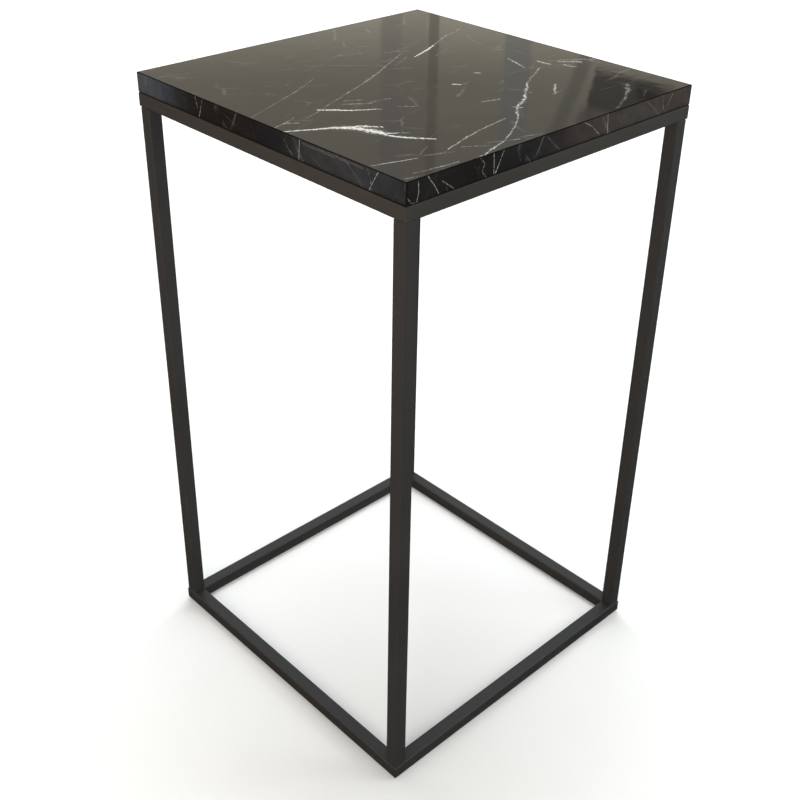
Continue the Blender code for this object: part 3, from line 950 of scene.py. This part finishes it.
@dataclass
class BoardScrew:
    """A pan-head wood screw with a thread and a cross recess, seen from below the table."""

    zinc: Material
    radius: float = 2.0 * MM
    pitch: float = 1.4 * MM
    thread_depth: float = 0.5 * MM
    crest_slope: float = 5.0
    rows_per_turn: int = 10
    steps: int = 28
    plain_shank: float = 2.2 * MM
    tip_length: float = 3.5 * MM
    tip_share: float = 0.06
    rim: float = 0.7 * MM
    rim_rounding: float = 0.12 * MM
    seat_share: float = 0.97
    dome_steps: int = 8
    recess_reach: float = 3.1 * MM
    recess_end: float = 1.6 * MM
    recess_depth: float = 3.0 * MM
    recess_slimness: float = 0.24

    def shank_radius(self, height: float, turn: float, length: float) -> float:
        """Return the radius of the shank at one place.

        Args:
            height: Distance from the underside of the head.
            turn: Share of a turn round the axis.
            length: Length of the shank.

        Returns:
            The radius.
        """
        phase = (height / self.pitch - turn) % 1.0
        crest = max(0.0, 1.0 - abs(phase - 0.5) * self.crest_slope)
        grown = min(1.0, max(0.0, (height - self.plain_shank) / self.pitch))
        local = self.radius - self.thread_depth + self.thread_depth * crest * grown
        return local * min(1.0, max(self.tip_share, (length - height) / self.tip_length))

    def shank(self, shape: Shape, length: float) -> list[Vert]:
        """Build the shank as one skin whose radius follows the thread.

        Args:
            shape: The bmesh to build in, with the head's underside at height zero.
            length: Length of the shank.

        Returns:
            The ring of points where the head joins on.
        """
        rows = int(length / self.pitch * self.rows_per_turn)
        rings = []
        for row in range(rows + 1):
            height = length * row / rows
            radii = [self.shank_radius(height, step / self.steps, length) for step in range(self.steps)]
            rings.append(round_ring(shape, height, radii))
        bridge_rings(shape, rings)
        shape.faces.new(rings[-1])
        return rings[0]

    def head(self, shape: Shape, joint: list[Vert], radius: float, height: float) -> None:
        """Build the head as one skin, from the shank out and over its dome.

        Args:
            shape: The bmesh to build in.
            joint: The shank's ring of points that it joins on to.
            radius: Its radius.
            height: Its height.
        """
        profile = [(radius * self.seat_share, 0.0), (radius, -self.rim_rounding), (radius, -self.rim)]
        for step in range(1, self.dome_steps):
            turn = step / self.dome_steps * math.pi / 2
            profile.append((radius * math.cos(turn), -self.rim - (height - self.rim) * math.sin(turn)))
        rings = [joint]
        rings.extend(round_ring(shape, level, [reach] * self.steps) for reach, level in profile)
        bridge_rings(shape, rings)
        shape.faces.new(rings[-1])

    def build(self, corner: CornerPlace) -> None:
        """Build the screw of one corner in place of the plain one.

        Args:
            corner: The corner that it stands in.
        """
        node = "board_screw_" + corner.label
        low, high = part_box(node)
        plate_low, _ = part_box("corner_plate_" + corner.label)
        seat = plate_low[2] - JOINT_GAP
        head_height = seat - low[2]
        shape = bmesh.new()
        joint = self.shank(shape, high[2] - seat)
        self.head(shape, joint, (high[0] - low[0]) / 2, head_height)
        centre = ((low[0] + high[0]) / 2, (low[1] + high[1]) / 2, seat)
        bmesh.ops.translate(shape, vec=centre, verts=shape.verts)
        piece = mesh_piece(shape, node + "_threaded", self.zinc)
        self.cut_recess(piece, (centre[0], centre[1], seat - head_height))
        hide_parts(node)
        LOG.info("%s: threaded screw", node)

    def cut_recess(self, piece: Piece, crown: Place) -> None:
        """Cut the tapered cross recess into the head.

        Args:
            piece: The screw.
            crown: The middle of the head's dome.
        """
        shape = bmesh.new()
        flat = Matrix.Diagonal((1.0, self.recess_slimness, 1.0, 1.0)) @ Matrix.Rotation(math.pi / 4, 4, "Z")
        for turn in range(2):
            made = bmesh.ops.create_cone(shape, cap_ends=True, segments=4, radius1=self.recess_reach,
                                         radius2=self.recess_end, depth=self.recess_depth)
            spin = Matrix.Rotation(turn * math.pi / 2, 4, "Z")
            bmesh.ops.transform(shape, matrix=spin @ flat, verts=made["verts"])
        bmesh.ops.translate(shape, vec=crown, verts=shape.verts)
        bmesh.ops.recalc_face_normals(shape, faces=shape.faces)
        cutter = to_object(shape, "recess")
        cut = piece.modifiers.new("recess", "BOOLEAN")
        cut.operation = "DIFFERENCE"
        cut.solver = "EXACT"
        cut.use_self = True
        cut.object = cutter
        depsgraph = bpy.context.evaluated_depsgraph_get()
        made = bpy.data.meshes.new_from_object(piece.evaluated_get(depsgraph))
        piece.modifiers.clear()
        piece.data = made
        bpy.data.objects.remove(cutter, do_unlink=True)


@dataclass
class Fixings:
    """Corner plates, board screws and floor pads."""

    coat: Material

    def dress(self) -> None:
        """Coat the plates, finish the pads and build the threaded screws."""
        rubber = PadRubber().material()
        screw = BoardScrew(ZincPlate().material())
        for corner in CornerPlace:
            dress("corner_plate_" + corner.label, self.coat)
            dress("floor_pad_" + corner.label, rubber)
            screw.build(corner)
        LOG.info("fixings: plates coated, pads dressed")


# --- The studio ---

WHITE = (1.0, 1.0, 1.0)


def sheet(name: str, segments: int, reach: float) -> Piece:
    """Lay a flat square.

    Args:
        name: Its name.
        segments: How many faces it has along each side.
        reach: Half its side.

    Returns:
        The new object.
    """
    shape = bmesh.new()
    bmesh.ops.create_grid(shape, x_segments=segments, y_segments=segments, size=reach)
    return to_object(shape, name)


@dataclass(frozen=True)
class ReflectorCard:
    """A card that shows only in gloss, at a bearing and height seen from the table top.

    The bearing is in degrees from +Y towards +X. Sizes are in degrees as the table top sees them.
    """

    name: str
    bearing: float
    elevation: float
    width: float
    height: float
    colour: Colour
    cover: float = 1.0
    softness: float = 0.35
    lean: float = 0.0
    distance: float = 30.0

    def half_side(self, angle: float) -> float:
        """Return half the length of a side that the table top sees at an angle in degrees."""
        return self.distance * math.tan(math.radians(angle / 2))


@dataclass(frozen=True)
class Softbox:
    """A square soft light that looks at the middle of the table, with its power in watts."""

    name: str
    place: Place
    size: float
    power: float
    colour: Colour
    in_gloss: bool = True


@dataclass(frozen=True)
class Room:
    """What the gloss sees of the room, from the floor up, and the tints of its two sides."""

    ground: Colour = (0.025, 0.022, 0.020)
    skirting: Colour = (0.10, 0.09, 0.08)
    wall_foot: Colour = (0.93, 0.88, 0.70)
    wall_head: Colour = (0.48, 0.44, 0.355)
    ceiling: Colour = (0.44, 0.54, 0.62)
    cool: Colour = (0.72, 0.88, 1.12)
    warm: Colour = (1.20, 0.96, 0.76)
    sky: float = 0.50

    def gloss(self, bench: Bench) -> Any:
        """Return the colour that gloss sees in each direction.

        Args:
            bench: The world's bench.

        Returns:
            The output socket.
        """
        direction = bench.add("ShaderNodeTexCoord").outputs["Generated"]
        height = bench.split(direction)[2]
        wall = bench.blend(bench.ramp(height, 0.22, 0.30), self.wall_foot, self.wall_head)
        above = bench.blend(bench.ramp(height, 0.38, 0.66), wall, self.ceiling)
        below = bench.blend(bench.ramp(height, -0.75, -0.12), self.ground, self.skirting)
        gloss = bench.blend(bench.ramp(height, -0.10, 0.06), below, above)
        side = bench.measure("DOT_PRODUCT", direction, (0.707, 0.707, 0.0))
        left = bench.ramp(side, -0.35, -0.75)
        tint = bench.blend(bench.ramp(side, 0.35, 0.75), WHITE, self.cool)
        gloss = bench.blend(1.0, gloss, bench.blend(left, tint, self.warm), "MULTIPLY")
        forward = bench.measure("DOT_PRODUCT", direction, (0.0, -1.0, 0.0))
        fall = bench.grey(bench.ramp(forward, 0.35, 0.85, 0.45, 1.25))
        return bench.blend(1.0, gloss, bench.blend(left, WHITE, fall), "MULTIPLY")

    def build(self) -> None:
        """Make the world: white behind the table, sky for soft light, the room for gloss."""
        world = bpy.data.worlds.new("studio_world")
        world.use_nodes = True
        bpy.context.scene.world = world
        world.node_tree.nodes.clear()
        bench = Bench(world.node_tree)
        rays = bench.add("ShaderNodeLightPath").outputs
        plain = bench.blend(rays["Is Camera Ray"], (self.sky,) * 3, WHITE)
        seen = bench.blend(rays["Is Glossy Ray"], plain, self.gloss(bench))
        background = bench.add("ShaderNodeBackground", {"Color": seen, "Strength": 1.0})
        bench.add("ShaderNodeOutputWorld", {"Surface": background.outputs[0]})
        LOG.info("studio: world")


@dataclass(frozen=True)
class Floor:
    """A pale floor that glows a little far off and can't be seen from below."""

    size: float = 60.0
    colour: Colour = (0.90, 0.90, 0.895)
    unevenness: float = 0.015
    glow_near: Colour = (0.06, 0.06, 0.06)
    glow_far: Colour = (0.50, 0.50, 0.50)
    glow_from: float = 0.4
    glow_to: float = 3.0
    shade_place: Place = (0.81, -0.79, 0.0)
    shade_from: float = 0.80
    shade_to: float = 1.30
    shade_depth: float = 0.03

    def build(self) -> None:
        """Lay the floor."""
        floor = sheet("studio_floor", 8, self.size / 2)
        material, bench = open_material("pale_floor")
        shader = bench.shader
        tone = bench.ramp(bench.noise(bench.place(), 3.0, 3.0), 0.3, 0.7)
        deep = tuple((1.0 - self.unevenness) * part for part in self.colour)
        toward = bench.measure("DISTANCE", bench.place(), self.shade_place)
        lit = bench.ramp(toward, self.shade_from, self.shade_to, 1.0 - self.shade_depth, 1.0)
        pale = bench.vector("MULTIPLY", bench.blend(tone, deep, self.colour), bench.grey(lit))
        bench.feed(shader.inputs["Base Color"], pale)
        away = bench.ramp(bench.measure("LENGTH", bench.place()), self.glow_from, self.glow_to)
        bench.feed(shader.inputs["Emission Color"], bench.blend(away, self.glow_near, self.glow_far))
        shader.inputs["Emission Strength"].default_value = 1.0
        shader.inputs["Roughness"].default_value = 0.9
        shader.inputs["Specular IOR Level"].default_value = 0.1
        behind = bench.add("ShaderNodeNewGeometry").outputs["Backfacing"]
        clear = bench.add("ShaderNodeBsdfTransparent").outputs[0]
        one_sided = bench.add("ShaderNodeMixShader", {0: behind, 1: shader.outputs[0], 2: clear})
        bench.feed(material.node_tree.nodes["Material Output"].inputs["Surface"], one_sided.outputs[0])
        floor.data.materials.append(material)
        floor.visible_glossy = False
        LOG.info("studio: floor")


@dataclass
class Studio:
    """Pale floor, room, soft lights, cards for the gloss, and the camera."""

    softboxes: tuple[Softbox, ...]
    cards: tuple[ReflectorCard, ...]
    lens: float = 52.3
    shift_y: float = -0.06875
    camera_place: Place = (0.8106, -0.7893, 1.0354)
    pitch: float = -29.917
    yaw: float = 46.195
    roll: float = 0.973

    def add_light(self, box: Softbox) -> None:
        """Hang one softbox.

        Args:
            box: What it is and where it hangs.
        """
        data = bpy.data.lights.new(box.name, "AREA")
        data.shape = "SQUARE"
        data.size = box.size
        data.energy = box.power
        data.color = box.colour
        light = bpy.data.objects.new(box.name, data)
        light.location = box.place
        target = (CAD_BOX[0] + CAD_BOX[1]) / 2
        light.rotation_euler = (target - Vector(box.place)).to_track_quat("-Z", "Y").to_euler()
        light.visible_glossy = box.in_gloss
        bpy.context.scene.collection.objects.link(light)
        LOG.info("studio: light %s", box.name)

    def card_material(self, card: ReflectorCard) -> Material:
        """Make a card's glow, which fades out towards its edges.

        Args:
            card: The card.

        Returns:
            The material.
        """
        material = bpy.data.materials.new(card.name)
        material.use_nodes = True
        material.node_tree.nodes.clear()
        bench = Bench(material.node_tree)
        parts = bench.split(bench.place())
        side = bench.ramp(bench.math("ABSOLUTE", parts[0]), 1.0 - card.softness, 1.0, 1.0, 0.0)
        end = bench.ramp(bench.math("ABSOLUTE", parts[1]), 1.0 - card.softness, 1.0, 1.0, 0.0)
        cover = bench.times(bench.times(side, end), card.cover)
        glow = bench.add("ShaderNodeEmission", {"Color": card.colour, "Strength": 1.0}).outputs[0]
        clear = bench.add("ShaderNodeBsdfTransparent").outputs[0]
        mixed = bench.add("ShaderNodeMixShader", {0: cover, 1: clear, 2: glow}).outputs[0]
        bench.add("ShaderNodeOutputMaterial", {"Surface": mixed})
        return material

    def add_card(self, card: ReflectorCard) -> None:
        """Stand one card round the table top, seen by gloss only.

        Args:
            card: What it is and where it stands.
        """
        bearing = math.radians(card.bearing)
        rise = math.radians(card.elevation)
        level = math.cos(rise)
        out = Vector((math.sin(bearing) * level, math.cos(bearing) * level, math.sin(rise)))
        spin = Matrix.Rotation(math.radians(card.lean), 3, "Z").to_quaternion()
        piece = sheet(card.name, 1, 1.0)
        piece.rotation_mode = "QUATERNION"
        piece.rotation_quaternion = (-out).to_track_quat("Z", "Y") @ spin
        piece.location = Vector((0.0, 0.0, CAD_BOX[1][2])) + out * card.distance
        piece.scale = (card.half_side(card.width), card.half_side(card.height), 1.0)
        piece.data.materials.append(self.card_material(card))
        piece.visible_camera = False
        piece.visible_diffuse = False
        piece.visible_shadow = False
        piece.visible_transmission = False
        LOG.info("studio: card %s", card.name)

    def add_camera(self) -> None:
        """Set the camera."""
        data = bpy.data.cameras.new("studio_camera")
        data.sensor_width = 36.0
        data.lens = self.lens
        data.shift_y = self.shift_y
        camera = bpy.data.objects.new("studio_camera", data)
        camera.location = self.camera_place
        turn = (Matrix.Rotation(math.radians(self.yaw), 3, "Z")
                @ Matrix.Rotation(math.radians(90.0 + self.pitch), 3, "X")
                @ Matrix.Rotation(math.radians(self.roll), 3, "Z"))
        camera.rotation_euler = turn.to_euler()
        bpy.context.scene.collection.objects.link(camera)
        bpy.context.scene.camera = camera
        bpy.context.scene.view_settings.view_transform = "Standard"
        LOG.info("studio: camera")

    def build(self) -> None:
        """Set up the whole studio."""
        Floor().build()
        Room().build()
        for box in self.softboxes:
            self.add_light(box)
        for card in self.cards:
            self.add_card(card)
        self.add_camera()


SOFTBOXES = (
    Softbox("softbox_overhead", (-0.65, 0.6, 3.0), 1.8, 68.0, (0.95, 0.985, 1.0), in_gloss=False),
    Softbox("softbox_front", (-0.6, -2.8, 1.3), 1.6, 6.0, (1.0, 0.86, 0.70)),
    Softbox("softbox_near_front", (0.55, -1.05, 0.80), 0.5, 4.6, (1.0, 0.89, 0.76), in_gloss=False),
    Softbox("softbox_right", (1.8, 2.3, 1.5), 1.6, 10.0, (0.74, 0.90, 1.0)),
    Softbox("softbox_near_right", (1.15, 0.75, 0.85), 0.5, 4.8, (0.93, 1.0, 0.95), in_gloss=False),
)

GLOSS_CARDS = (
    ReflectorCard("card_band_plum", -46.9, 26.0, 1.3, 34.0, (0.36, 0.33, 0.32), 0.5, 0.3),
    ReflectorCard("card_band_soft", -45.7, 26.0, 1.5, 34.0, (0.34, 0.31, 0.26), 0.3, 0.4),
    ReflectorCard("card_band_dark", -44.75, 26.0, 0.6, 34.0, (0.26, 0.24, 0.20), 0.65, 0.3),
    ReflectorCard("card_band_blue", -40.4, 26.0, 1.5, 34.0, (0.38, 0.39, 0.40), 0.55, 0.25),
    ReflectorCard("card_slant", -37.75, 18.2, 0.9, 9.0, (0.22, 0.21, 0.19), 0.6, 0.5, 18.0),
    ReflectorCard("card_box_broad", -34.5, 17.5, 4.1, 2.1, (0.04, 0.035, 0.03), 0.82, 0.06, 9.0),
    ReflectorCard("card_box_core", -33.6, 17.15, 1.7, 0.75, (0.0, 0.0, 0.01), 0.9, 0.5, 8.0),
    ReflectorCard("card_box_foot", -36.3, 19.4, 2.2, 2.4, (0.10, 0.09, 0.085), 0.65, 0.25, 18.0),
    ReflectorCard("card_front_left_end", -120.9, -18.0, 3.0, 16.0, (0.66, 0.74, 0.86), 0.95, 0.35),
    ReflectorCard("card_front_brown", -123.7, -18.5, 3.2, 16.0, (0.02, 0.01, 0.0), 0.95, 0.35),
    ReflectorCard("card_front_middle", -127.3, -20.0, 2.4, 16.0, (0.06, 0.09, 0.13), 0.9, 0.6),
    ReflectorCard("card_front_pale", -130.0, -20.0, 3.6, 16.0, (0.45, 0.44, 0.43), 0.9, 0.3),
    ReflectorCard("card_front_near_end", -132.9, -22.0, 3.4, 16.0, (0.52, 0.56, 0.64), 0.9, 0.4),
    ReflectorCard("card_right_end", 34.0, -18.0, 9.0, 16.0, (0.57, 0.49, 0.43), 0.95, 0.2),
    ReflectorCard("card_right_middle", 39.2, -20.0, 2.4, 16.0, (0.15, 0.16, 0.18), 0.8, 0.5),
)


def main() -> None:
    """Dress the table, build its small parts and set up the studio."""
    logging.basicConfig(level=logging.INFO, format="%(message)s")
    coat = PowderCoat().material()
    # The rim's copy of the coat is painted warmer and a little lighter for the warm light that falls on the
    # rim. It also has painted shade along its top, under the board's edge.
    _, rim_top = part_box("top_frame_rail_front")
    rim_coat = PowderCoat(name="satin_powder_coat_rim", colour=(0.0335, 0.0295, 0.0255),
                          painted_shade_above=rim_top[2] - 0.0012).material()
    Board().dress()
    tubes = TubeFrame(coat, rim_coat)
    tubes.dress()
    tubes.add_mitre_welds()
    tubes.add_leg_welds()
    Fixings(coat).dress()
    Studio(SOFTBOXES, GLOSS_CARDS).build()


if __name__ == "__main__":
    main()
